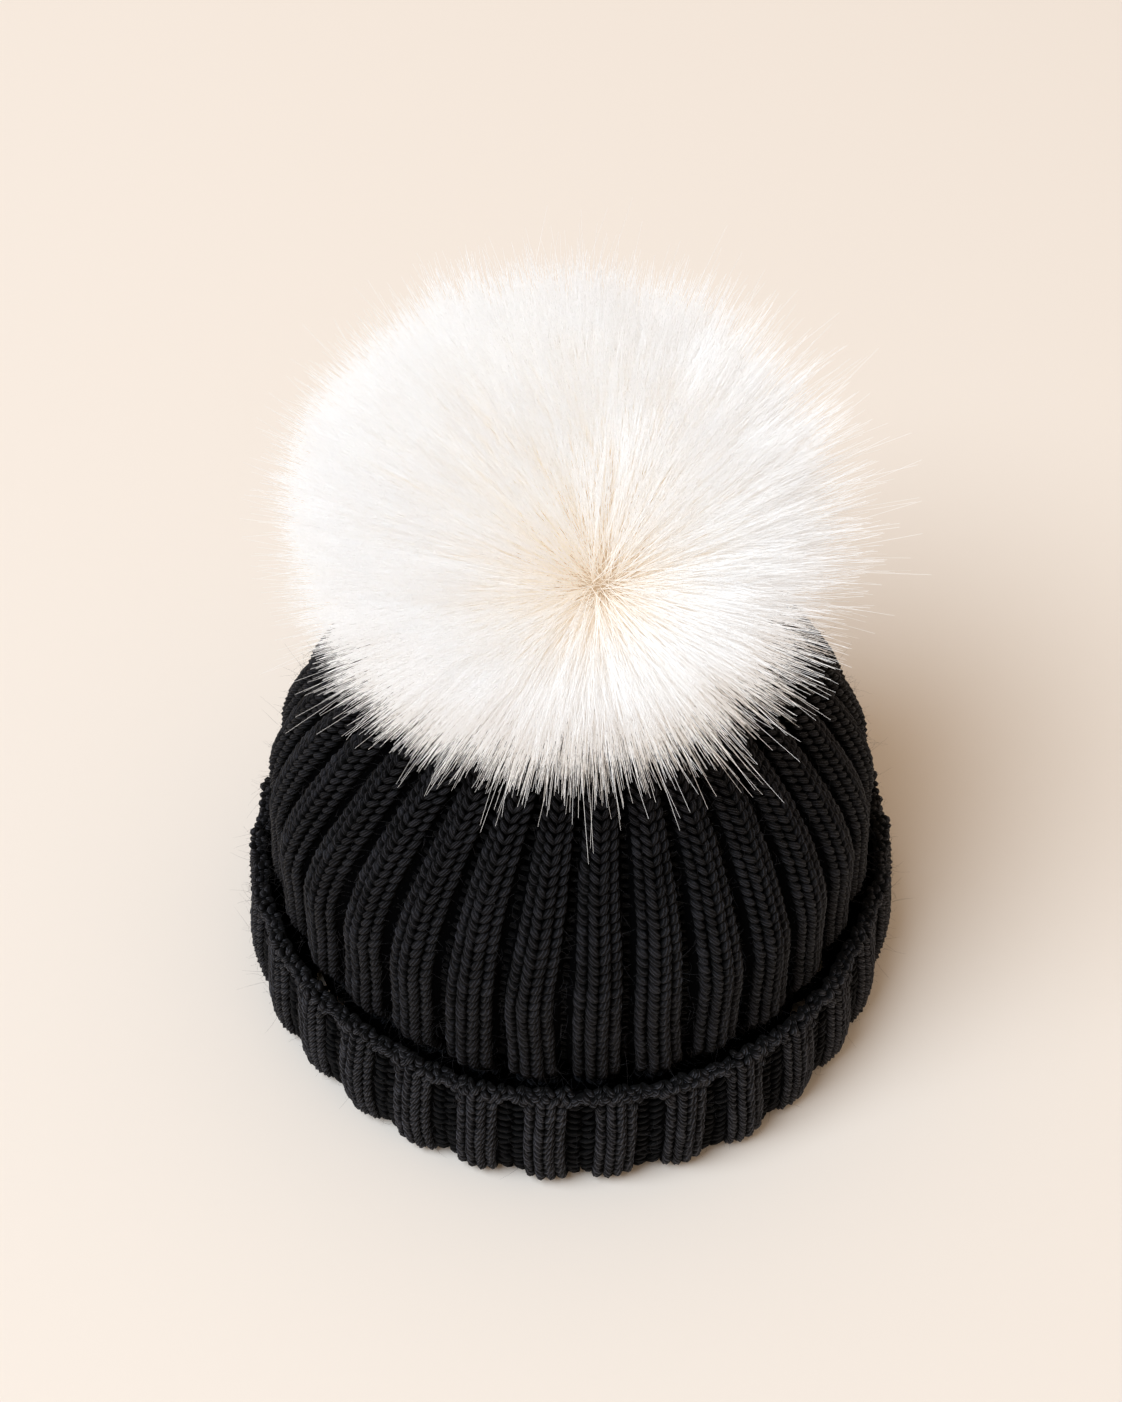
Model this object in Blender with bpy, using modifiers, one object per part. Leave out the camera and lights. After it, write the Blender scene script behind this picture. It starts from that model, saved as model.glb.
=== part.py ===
"""A ribbed knit beanie with a folded cuff and a fur pom pom that snaps on, swivels and rocks.

Run it with: blender --background --python part.py
Everything is in metres, with +Z up. The hat stands on its fold at Z = 0 round the Z axis, and its front is -Y.
"""

import math

import bmesh
import bpy
from mathutils import Vector

# Knit fabric
RIB_COUNT = 30
RIB_RELIEF = 0.003  # how far a rib stands out of its valley on the widest part of the crown
RIB_TOP_SHARE = 0.5  # share of one rib's pitch that the top of the rib takes
RIB_TURN = math.radians(-6)  # puts a valley at the middle of the front
KNIT_THICKNESS = 0.0045

# Cuff, measured at the tops of its ribs
CUFF_HEIGHT = 0.0484
CUFF_FOLD_RADIUS = 0.100
CUFF_MIDDLE_RADIUS = 0.104
CUFF_TOP_RADIUS = 0.0973
CUFF_MIDDLE_SHARE = 0.42  # how far up the cuff it is widest
CUFF_SHOULDER_SHARE = 0.7  # how far up it starts to lean in towards its edge
CUFF_SHOULDER_LEAN = 0.25  # how far in it has leaned there, of the way to its edge
FOLD_ROUND = 0.0068  # radius of the fold at the bottom of the cuff
FOLD_FLAT = 0.004  # width of the ring that the hat stands on
LIP_HEIGHT = 0.009

# Crown, measured at the tops of its ribs
CROWN_RADIUS = 0.0935
CROWN_WIDEST_HEIGHT = 0.079
CROWN_HEIGHT = 0.1572
CROWN_ROUNDNESS = 1.43
CROWN_RINGS = 6
CROWN_WAIST_LEAN = 0.3  # how far in the crown has drawn half-way down to the cuff
CROWN_TUCK_SHARE = 0.8  # how far up the cuff the crown is at its narrowest
CUFF_GAP = 0.004  # space between the crown and the top of the cuff

# Snap fastener
SEAT_RADIUS = 0.016  # flat top of the crown
SHANK_RADIUS = 0.0020
SHANK_CLEARANCE = 0.0004
CAP_RADIUS = 0.0075
CAP_THICKNESS = 0.0012
CAP_FACE_SHARE = 0.7  # flat middle of a snap cap's face
CAP_RIM_SHARE = 0.35  # how much of a cap's thickness its rounded rim takes
SOCKET_RADIUS = 0.0056
SOCKET_FLANGE_RADIUS = 0.0068
SOCKET_HEIGHT = 0.0042
SOCKET_MOUTH_SHARE = 0.92  # the socket narrows to this at its mouth
SOCKET_CHAMFER_SHARE = 0.2
SOCKET_FLOOR = 0.0009
RIVET_HEAD_RADIUS = 0.0029
RIVET_HEAD_THICKNESS = 0.0006
STUD_HEAD_RADIUS = 0.0027
STUD_HEAD_THICKNESS = 0.0010
STUD_NECK_RADIUS = 0.0021
STUD_CLEARANCE = 0.00025  # between the stud's head and the ring spring, and all round the head
SPRING_WIRE_RADIUS = 0.00035
STUD_FLANGE_RADIUS = 0.0062
STUD_FLANGE_THICKNESS = 0.0010
STUD_RIVET_RADIUS = 0.0013
BACKING_RADIUS = 0.015
BACKING_THICKNESS = 0.002
TOUCH = 0.0003  # gap left between two pieces that lie against each other

# Pom pom
POM_RADIUS = 0.077
SKIN_RADIUS = 0.029
SKIN_THICKNESS = 0.0015
SKIN_MOUTH_RADIUS = 0.0125
SKIN_MOUTH_RISE = 0.0006  # how far above the base disc's underside the skin's mouth is
BASE_DISC_RADIUS = 0.0095
BASE_DISC_THICKNESS = 0.0016
BALL_CLEARANCE = 0.0008  # between the stuffing, the skin and the fur, more than their flat facets cut off
STUFFING_FLOOR_GAP = 0.003
TILT_LIMIT = math.radians(12)
FUR_CLEARANCE = 0.0012  # left between the fur and the crown when the pom pom rocks as far as it goes
FUR_UNDERSIDE_SHARES = (0.84, 0.64, 0.42)  # where the fur follows the crown, as shares of its edge's radius
FUR_OPENING_TURN = math.radians(6)  # how far above the skin's mouth the fur starts

# Yarn and threads
GATHER_CORD_RADIUS = 0.0012
CORD_CLEARANCE = 0.0012  # between the gathering cord and the knit that slopes over it
DRAW_THREAD_RADIUS = 0.0005

# Care label
LABEL_WIDTH = 0.022
LABEL_HEIGHT = 0.030
LABEL_THICKNESS = 0.0005
LABEL_LOOP_GAP = 0.0008
LABEL_TOP_HEIGHT = 0.042
LABEL_CLEARANCE = 0.0008

# Smoothness of the round pieces
SMALL_STEPS = 24
POM_STEPS = 32
RING_STEPS = 32
RING_SIDES = 6
BALL_RINGS = 8
FOLD_STEPS = 2
EDGE_HALVINGS = 40  # how closely the fur's edge is found

TOP = math.pi / 2  # the angle of a ball's top

# Heights and radii worked out from the sizes above
rib_pitch = 2 * math.pi / RIB_COUNT
fold_centre_radius = CUFF_FOLD_RADIUS - FOLD_ROUND - FOLD_FLAT / 2
lip_radius = fold_centre_radius - FOLD_FLAT / 2 - FOLD_ROUND
crown_foot_radius = lip_radius + KNIT_THICKNESS
crown_foot_height = LIP_HEIGHT + TOUCH
crown_tuck_radius = CUFF_TOP_RADIUS - KNIT_THICKNESS - CUFF_GAP
hole_radius = SHANK_RADIUS + SHANK_CLEARANCE


def crown_rise(radius):
    """Height of the crown's outside, above its widest ring, where its ribs reach this radius."""
    share = (1 - min(1, radius / CROWN_RADIUS) ** 2) ** (1 / CROWN_ROUNDNESS)
    return CROWN_WIDEST_HEIGHT + (CROWN_HEIGHT - CROWN_WIDEST_HEIGHT) * share


seat_height = crown_rise(SEAT_RADIUS)
crown_inside_height = seat_height - KNIT_THICKNESS
backing_top = crown_inside_height - TOUCH
cap_top = backing_top - BACKING_THICKNESS - TOUCH
socket_bottom = seat_height + TOUCH
rivet_bottom = socket_bottom + SOCKET_FLOOR + TOUCH
rivet_top = rivet_bottom + RIVET_HEAD_THICKNESS
stud_bottom = rivet_top + TOUCH
stud_head_top = stud_bottom + STUD_HEAD_THICKNESS
spring_ring_radius = STUD_HEAD_RADIUS + STUD_CLEARANCE + SPRING_WIRE_RADIUS
spring_height = stud_head_top + STUD_CLEARANCE + SPRING_WIRE_RADIUS
socket_bore_radius = spring_ring_radius + SPRING_WIRE_RADIUS + TOUCH
socket_top = socket_bottom + SOCKET_HEIGHT
stud_flange_bottom = socket_top + TOUCH
stud_flange_top = stud_flange_bottom + STUD_FLANGE_THICKNESS
disc_bottom = stud_flange_top + TOUCH
disc_top = disc_bottom + BASE_DISC_THICKNESS
stud_cap_bottom = disc_top + TOUCH
stud_cap_top = stud_cap_bottom + CAP_THICKNESS
tilt_height = disc_top
mouth_angle = -math.acos(SKIN_MOUTH_RADIUS / SKIN_RADIUS)
mouth_height = disc_bottom + SKIN_MOUTH_RISE
pom_centre_height = mouth_height - SKIN_RADIUS * math.sin(mouth_angle)


def remove_startup_objects():
    for obj in list(bpy.data.objects):
        bpy.data.objects.remove(obj, do_unlink=True)


def make_collection(name):
    collection = bpy.data.collections.new(name)
    bpy.context.scene.collection.children.link(collection)
    return collection


def make_material(name, color, roughness, metallic=0.0):
    material = bpy.data.materials.new(name)
    material.use_nodes = True
    shader = material.node_tree.nodes["Principled BSDF"]
    shader.inputs["Base Color"].default_value = (*color, 1)
    shader.inputs["Roughness"].default_value = roughness
    shader.inputs["Metallic"].default_value = metallic
    return material


def add_object(name, mesh, material, parent=None, smooth=True):
    """Links the mesh as an object in the beanie's collection. The mesh is in world places."""
    obj = bpy.data.objects.new(name, mesh)
    mesh.materials.append(material)
    mesh.shade_smooth() if smooth else mesh.shade_flat()
    beanie.objects.link(obj)
    if parent:
        mesh.transform(parent.matrix_world.inverted())
        obj.parent = parent
    return obj


def add_joint_empty(name, height, parent=None):
    """An empty on a joint's axis. What it carries moves about it."""
    empty = bpy.data.objects.new(name, None)
    empty.location = (0, 0, height - (parent.matrix_world.translation.z if parent else 0))
    empty.empty_display_size = CAP_RADIUS
    beanie.objects.link(empty)
    empty.parent = parent
    bpy.context.view_layer.update()
    return empty


def add_solidify(obj, thickness):
    """Thickens an open surface inwards, away from its outer side."""
    solidify = obj.modifiers.new("Wall", "SOLIDIFY")
    solidify.thickness = thickness
    solidify.offset = -1
    return solidify


def spin_mesh(name, profile, steps, closed_profile=False):
    """Turns a profile of (radius, height) points about Z. It runs down the outer side, top to bottom."""
    bm = bmesh.new()
    points = [bm.verts.new((radius, 0, height)) for radius, height in profile]
    ends = points[1:] + (points[:1] if closed_profile else [])
    edges = [bm.edges.new(pair) for pair in zip(points, ends)]
    whole = {"geom": points + edges, "angle": 2 * math.pi, "steps": steps, "use_merge": True}
    bmesh.ops.spin(bm, axis=(0, 0, 1), cent=(0, 0, 0), **whole)
    bmesh.ops.remove_doubles(bm, verts=bm.verts, dist=1e-6)
    bmesh.ops.recalc_face_normals(bm, faces=bm.faces)
    mesh = bpy.data.meshes.new(name)
    bm.to_mesh(mesh)
    bm.free()
    return mesh


def add_turned(name, profile, steps, material, parent=None):
    """A solid of revolution from a profile that starts and ends on the axis."""
    return add_object(name, spin_mesh(name, profile, steps), material, parent)


def add_turned_ring(name, profile, steps, material, parent=None):
    """A solid of revolution from a closed profile that stays clear of the axis."""
    return add_object(name, spin_mesh(name, profile, steps, closed_profile=True), material, parent)


def add_torus(name, ring_radius, wire_radius, height, material, parent=None):
    """A ring of round wire or yarn about Z."""
    circle = [
        (
            ring_radius + wire_radius * math.cos(2 * math.pi * side / RING_SIDES),
            height + wire_radius * math.sin(2 * math.pi * side / RING_SIDES),
        )
        for side in range(RING_SIDES)
    ]
    return add_turned_ring(name, circle, RING_STEPS, material, parent)


def rib_angles():
    """The three angles that draw each rib: the two edges of its top, and the valley beside it."""
    half_top = RIB_TOP_SHARE / 2
    for rib in range(RIB_COUNT):
        for share, is_top in ((-half_top, True), (half_top, True), (0.5, False)):
            yield math.radians(-90) + RIB_TURN + (rib + share) * rib_pitch, is_top


def valley_depth(radius):
    """How far the valleys lie below the rib tops. The ribs flatten out towards the middle of the crown."""
    share = (radius - SEAT_RADIUS) / (CROWN_RADIUS - SEAT_RADIUS)
    return RIB_RELIEF * min(1, max(0, share))


def add_ribbed_shell(name, profile, material):
    """A ribbed knit tube, thickened inwards from a profile of (radius, height) points along the rib tops."""
    bm = bmesh.new()
    columns = []
    for angle, is_top in rib_angles():
        column = []
        for radius, height in profile:
            reach = radius if is_top else radius - valley_depth(radius)
            column.append(bm.verts.new((reach * math.cos(angle), reach * math.sin(angle), height)))
        columns.append(column)
    for column, following in zip(columns, columns[1:] + columns[:1]):
        for row in range(len(profile) - 1):
            bm.faces.new((column[row], column[row + 1], following[row + 1], following[row]))
    mesh = bpy.data.meshes.new(name)
    bm.to_mesh(mesh)
    bm.free()
    shell = add_object(name, mesh, material)
    add_solidify(shell, KNIT_THICKNESS)
    return shell


def arc_points(centre, radius, start, end, steps):
    """Points of (radius, height) along an arc from one angle to another, both ends included."""
    for step in range(steps + 1):
        angle = start + (end - start) * step / steps
        yield centre[0] + radius * math.cos(angle), centre[1] + radius * math.sin(angle)


def add_crown():
    profile = [(hole_radius, seat_height), (SEAT_RADIUS, seat_height)]
    for ring in range(1, CROWN_RINGS + 1):
        turn = math.pi / 2 * ring / CROWN_RINGS
        radius = SEAT_RADIUS + (CROWN_RADIUS - SEAT_RADIUS) * math.sin(turn)
        profile.append((radius, crown_rise(radius)))
    tuck_height = CUFF_HEIGHT * CROWN_TUCK_SHARE
    waist = (CROWN_WIDEST_HEIGHT + tuck_height) / 2
    profile.append((CROWN_RADIUS - (CROWN_RADIUS - crown_tuck_radius) * CROWN_WAIST_LEAN, waist))
    profile.append((crown_tuck_radius, tuck_height))
    profile.append((crown_foot_radius, crown_foot_height))
    return add_ribbed_shell("crown_knit", profile, black_knit)


def add_cuff():
    """The folded-up band: from its top edge down the outside, round the fold and up to the lip inside."""
    centre = (fold_centre_radius, FOLD_ROUND)
    outer_turn = arc_points(centre, FOLD_ROUND, 0, -TOP, FOLD_STEPS)
    inner_turn = arc_points(centre, FOLD_ROUND, -TOP, -2 * TOP, FOLD_STEPS)
    shoulder_radius = CUFF_MIDDLE_RADIUS + (CUFF_TOP_RADIUS - CUFF_MIDDLE_RADIUS) * CUFF_SHOULDER_LEAN
    profile = [(CUFF_TOP_RADIUS, CUFF_HEIGHT)]
    profile.append((shoulder_radius, CUFF_HEIGHT * CUFF_SHOULDER_SHARE))
    profile.append((CUFF_MIDDLE_RADIUS, CUFF_HEIGHT * CUFF_MIDDLE_SHARE))
    profile += [(radius + FOLD_FLAT / 2, height) for radius, height in outer_turn]
    profile += [(radius - FOLD_FLAT / 2, height) for radius, height in inner_turn]
    profile.append((lip_radius, LIP_HEIGHT))
    return add_ribbed_shell("cuff", profile, black_knit)


def add_gather_cord():
    """The yarn that draws the top of the crown together, lying round the backing disc."""
    ring_radius = BACKING_RADIUS + GATHER_CORD_RADIUS + CORD_CLEARANCE
    height = crown_inside_height - GATHER_CORD_RADIUS - CORD_CLEARANCE
    add_torus("gather_cord", ring_radius, GATHER_CORD_RADIUS, height, black_knit)


def add_snap():
    """The cap, backing disc, socket and ring spring that stay on the hat."""
    cap_bottom = cap_top - CAP_THICKNESS
    add_turned(
        "snap_cap",
        [
            (0, rivet_top),
            (RIVET_HEAD_RADIUS, rivet_top),
            (RIVET_HEAD_RADIUS, rivet_bottom),
            (SHANK_RADIUS, rivet_bottom),
            (SHANK_RADIUS, cap_top),
            (CAP_RADIUS, cap_top),
            (CAP_RADIUS, cap_bottom + CAP_THICKNESS * CAP_RIM_SHARE),
            (CAP_RADIUS * CAP_FACE_SHARE, cap_bottom),
            (0, cap_bottom),
        ],
        SMALL_STEPS,
        brass,
    )
    add_turned_ring(
        "backing_disc",
        [
            (BACKING_RADIUS, backing_top),
            (BACKING_RADIUS, backing_top - BACKING_THICKNESS),
            (hole_radius, backing_top - BACKING_THICKNESS),
            (hole_radius, backing_top),
        ],
        SMALL_STEPS,
        black_felt,
    )
    add_turned_ring(
        "snap_socket",
        [
            (SOCKET_RADIUS * SOCKET_MOUTH_SHARE, socket_top),
            (SOCKET_RADIUS, socket_top - SOCKET_HEIGHT * SOCKET_CHAMFER_SHARE),
            (SOCKET_RADIUS, socket_bottom + SOCKET_FLOOR),
            (SOCKET_FLANGE_RADIUS, socket_bottom + SOCKET_FLOOR),
            (SOCKET_FLANGE_RADIUS, socket_bottom),
            (hole_radius, socket_bottom),
            (hole_radius, socket_bottom + SOCKET_FLOOR),
            (socket_bore_radius, socket_bottom + SOCKET_FLOOR),
            (socket_bore_radius, socket_top),
        ],
        SMALL_STEPS,
        brass,
    )
    add_torus("socket_spring", spring_ring_radius, SPRING_WIRE_RADIUS, spring_height, spring_steel)


def add_stud(parent):
    """The half of the snap on the pom pom: a stud, and the cap whose rivet holds it to the base disc."""
    rivet_bore = STUD_RIVET_RADIUS + TOUCH
    bore_floor = stud_flange_bottom
    add_turned(
        "snap_stud",
        [
            (0, bore_floor),
            (rivet_bore, bore_floor),
            (rivet_bore, stud_flange_top),
            (STUD_FLANGE_RADIUS, stud_flange_top),
            (STUD_FLANGE_RADIUS, stud_flange_bottom),
            (STUD_NECK_RADIUS, stud_flange_bottom),
            (STUD_NECK_RADIUS, stud_head_top + TOUCH),
            (STUD_HEAD_RADIUS, stud_head_top),
            (STUD_HEAD_RADIUS, stud_bottom + TOUCH),
            (STUD_HEAD_RADIUS - TOUCH, stud_bottom),
            (0, stud_bottom),
        ],
        SMALL_STEPS,
        brass,
        parent,
    )
    add_turned(
        "stud_cap",
        [
            (0, stud_cap_top),
            (STUD_FLANGE_RADIUS * CAP_FACE_SHARE, stud_cap_top),
            (STUD_FLANGE_RADIUS, stud_cap_top - CAP_THICKNESS * CAP_RIM_SHARE),
            (STUD_FLANGE_RADIUS, stud_cap_bottom),
            (STUD_RIVET_RADIUS, stud_cap_bottom),
            (STUD_RIVET_RADIUS, bore_floor + TOUCH),
            (0, bore_floor + TOUCH),
        ],
        SMALL_STEPS,
        brass,
        parent,
    )


def add_base_disc(parent):
    bore = STUD_RIVET_RADIUS + TOUCH
    add_turned_ring(
        "pom_base_disc",
        [(BASE_DISC_RADIUS, disc_top), (BASE_DISC_RADIUS, disc_bottom), (bore, disc_bottom), (bore, disc_top)],
        SMALL_STEPS,
        white_felt,
        parent,
    )


def ball_arc(radius, start, end):
    """Points of (radius, height) on a ball round the pom pom's centre. Its angles are measured up from level."""
    return list(arc_points((0, pom_centre_height), radius, start, end, BALL_RINGS))


def swept_point(radius):
    """Where a point of the crown at this radius meets the fur, once the pom pom has rocked to its limit."""
    drop = tilt_height - crown_rise(radius)
    reach = radius * math.cos(TILT_LIMIT) + drop * math.sin(TILT_LIMIT)
    height = tilt_height + radius * math.sin(TILT_LIMIT) - drop * math.cos(TILT_LIMIT)
    return reach, height + FUR_CLEARANCE


def fur_edge_radius():
    """The radius on the crown whose swept point lies on the outside of the ball of fur."""
    low, high = SEAT_RADIUS, CROWN_RADIUS
    for _ in range(EDGE_HALVINGS):
        middle = (low + high) / 2
        reach, height = swept_point(middle)
        if math.hypot(reach, height - pom_centre_height) < POM_RADIUS:
            low = middle
        else:
            high = middle
    return low


def add_pom(parent):
    """The skin, drawn shut by its thread round a ball of stuffing, and the fur that grows from it."""
    skin = add_turned("pom_skin", ball_arc(SKIN_RADIUS, TOP, mouth_angle), POM_STEPS, pelt, parent)
    add_solidify(skin, SKIN_THICKNESS)
    stuffing_radius = SKIN_RADIUS - SKIN_THICKNESS - BALL_CLEARANCE
    floor_height = stud_cap_top + STUFFING_FLOOR_GAP
    floor_angle = -math.asin((pom_centre_height - floor_height) / stuffing_radius)
    stuffing = ball_arc(stuffing_radius, TOP, floor_angle) + [(0, floor_height)]
    add_turned("pom_stuffing", stuffing, POM_STEPS, wadding, parent)
    thread_height = mouth_height - DRAW_THREAD_RADIUS - TOUCH * 2
    add_torus("pom_draw_thread", SKIN_MOUTH_RADIUS, DRAW_THREAD_RADIUS, thread_height, white_thread, parent)
    add_fur(parent)


def add_fur(parent):
    """The body of the fur: a ball cut clear of the crown below, with a hollow for the skin."""
    edge_radius = fur_edge_radius()
    edge_angle = -math.acos(swept_point(edge_radius)[0] / POM_RADIUS)
    outside = ball_arc(POM_RADIUS, TOP, edge_angle)
    underside = [swept_point(edge_radius * share) for share in FUR_UNDERSIDE_SHARES]
    inside = ball_arc(SKIN_RADIUS + BALL_CLEARANCE, mouth_angle + FUR_OPENING_TURN, TOP)
    add_turned("pom_fur", outside + underside + inside, POM_STEPS, white_fur, parent)


def add_label():
    """A blank ribbon folded in half, hanging inside the back of the hat."""
    wall_radius = min(crown_foot_radius, crown_tuck_radius) - RIB_RELIEF - KNIT_THICKNESS
    back = math.sqrt(wall_radius**2 - (LABEL_WIDTH / 2) ** 2) - LABEL_CLEARANCE
    front = back - LABEL_LOOP_GAP - LABEL_THICKNESS * 2
    middle = (back + front) / 2
    low = LABEL_TOP_HEIGHT - LABEL_HEIGHT
    turn = low + middle - front
    side = [
        (back, LABEL_TOP_HEIGHT),
        (back, turn),
        (middle, low),
        (front, turn),
        (front, LABEL_TOP_HEIGHT),
    ]
    bm = bmesh.new()
    verts = [bm.verts.new((-LABEL_WIDTH / 2, y, z)) for y, z in side]
    edges = [bm.edges.new(pair) for pair in zip(verts, verts[1:])]
    made = bmesh.ops.extrude_edge_only(bm, edges=edges)["geom"]
    far_side = [element for element in made if isinstance(element, bmesh.types.BMVert)]
    bmesh.ops.translate(bm, verts=far_side, vec=Vector((LABEL_WIDTH, 0, 0)))
    bmesh.ops.recalc_face_normals(bm, faces=bm.faces)
    mesh = bpy.data.meshes.new("care_label")
    bm.to_mesh(mesh)
    bm.free()
    label = add_object("care_label", mesh, white_ribbon, smooth=False)
    add_solidify(label, LABEL_THICKNESS)


remove_startup_objects()
beanie = make_collection("beanie")
black_knit = make_material("black_knit", (0.012, 0.012, 0.014), 0.9)
black_felt = make_material("black_felt", (0.02, 0.02, 0.02), 0.95)
brass = make_material("brass", (0.72, 0.60, 0.35), 0.3, metallic=1.0)
spring_steel = make_material("spring_steel", (0.6, 0.6, 0.6), 0.25, metallic=1.0)
white_ribbon = make_material("white_ribbon", (0.85, 0.84, 0.82), 0.5)
white_felt = make_material("white_felt", (0.86, 0.84, 0.80), 0.95)
pelt = make_material("pelt", (0.80, 0.70, 0.58), 0.85)
wadding = make_material("wadding", (0.92, 0.92, 0.91), 1.0)
white_thread = make_material("white_thread", (0.88, 0.86, 0.82), 0.7)
white_fur = make_material("white_fur", (0.93, 0.89, 0.84), 0.8)

add_crown()
add_cuff()
add_gather_cord()
add_label()
add_snap()
snap_axis = add_joint_empty("snap_axis", socket_top)
add_stud(snap_axis)
swivel_axis = add_joint_empty("swivel_axis", disc_bottom, snap_axis)
add_base_disc(swivel_axis)
tilt_axis = add_joint_empty("tilt_axis", tilt_height, swivel_axis)
add_pom(tilt_axis)
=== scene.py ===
import math

import bmesh
import bpy
import numpy as np
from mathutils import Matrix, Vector


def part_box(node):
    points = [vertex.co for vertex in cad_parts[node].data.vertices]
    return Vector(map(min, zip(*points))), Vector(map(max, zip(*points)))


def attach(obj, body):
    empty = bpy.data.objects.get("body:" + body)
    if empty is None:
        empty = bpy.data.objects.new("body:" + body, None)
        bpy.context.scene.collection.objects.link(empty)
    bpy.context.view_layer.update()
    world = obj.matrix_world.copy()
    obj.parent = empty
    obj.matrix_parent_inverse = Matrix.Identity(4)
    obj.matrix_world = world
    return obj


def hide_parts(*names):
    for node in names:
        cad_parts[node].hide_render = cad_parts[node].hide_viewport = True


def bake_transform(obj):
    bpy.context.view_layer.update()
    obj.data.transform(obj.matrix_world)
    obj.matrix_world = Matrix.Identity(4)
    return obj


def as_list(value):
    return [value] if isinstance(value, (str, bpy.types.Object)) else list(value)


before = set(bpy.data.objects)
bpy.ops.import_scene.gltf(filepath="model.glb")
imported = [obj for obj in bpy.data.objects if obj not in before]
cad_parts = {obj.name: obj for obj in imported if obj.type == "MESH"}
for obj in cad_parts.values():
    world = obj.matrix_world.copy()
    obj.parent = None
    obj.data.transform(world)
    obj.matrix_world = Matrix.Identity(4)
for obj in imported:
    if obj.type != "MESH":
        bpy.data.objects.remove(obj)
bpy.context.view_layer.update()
scene = bpy.context.scene


def wireMethod(operation, flip=False, **choices):
    return lambda wire, *others: wire.sum(operation, *others, flip=flip, **choices)


class Wire:
    # a socket that can be added to and multiplied, in shader and geometry trees alike
    def __init__(self, tree, socket):
        self.tree, self.socket = tree, socket

    def wide(self):
        return self.socket.type in ("VECTOR", "RGBA")

    def sum(self, operation, *others, flip=False, output="Vector"):
        terms = [others[0], self] if flip else [self, *others]
        wide = any(isinstance(t, tuple) or isinstance(t, Wire) and t.wide() for t in terms)
        node = self.tree.nodes.new("ShaderNodeVectorMath" if wide else "ShaderNodeMath")
        node.operation = operation
        for socket, term in zip(node.inputs, terms):
            feed(self.tree, socket, term)
        return Wire(self.tree, node.outputs[output if wide else "Value"])

    __add__ = __radd__ = wireMethod("ADD")
    __sub__, __rsub__ = wireMethod("SUBTRACT"), wireMethod("SUBTRACT", flip=True)
    __mul__ = __rmul__ = wireMethod("MULTIPLY")
    __truediv__, __rtruediv__ = wireMethod("DIVIDE"), wireMethod("DIVIDE", flip=True)
    __pow__ = wireMethod("POWER")
    least, most = wireMethod("MINIMUM"), wireMethod("MAXIMUM")
    sine, root, unit = wireMethod("SINE"), wireMethod("SQRT"), wireMethod("NORMALIZE")
    dot = wireMethod("DOT_PRODUCT", output="Value")
    length = wireMethod("LENGTH", output="Value")

    def __neg__(self):
        return self * -1.0

    def also(self, name):
        return Wire(self.tree, self.socket.node.outputs[name])

    def part(self, axis):
        split = self.tree.nodes.new("ShaderNodeSeparateXYZ")
        self.tree.links.new(self.socket, split.inputs[0])
        return Wire(self.tree, split.outputs[axis])


def feed(tree, socket, value):
    if isinstance(value, Wire):
        tree.links.new(value.socket, socket)
    elif socket.type == "VECTOR" and isinstance(value, (int, float)):
        socket.default_value = (value,) * 3
    elif socket.type == "RGBA" and len(value) == 3:
        socket.default_value = (*value, 1)
    else:
        socket.default_value = value


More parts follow.
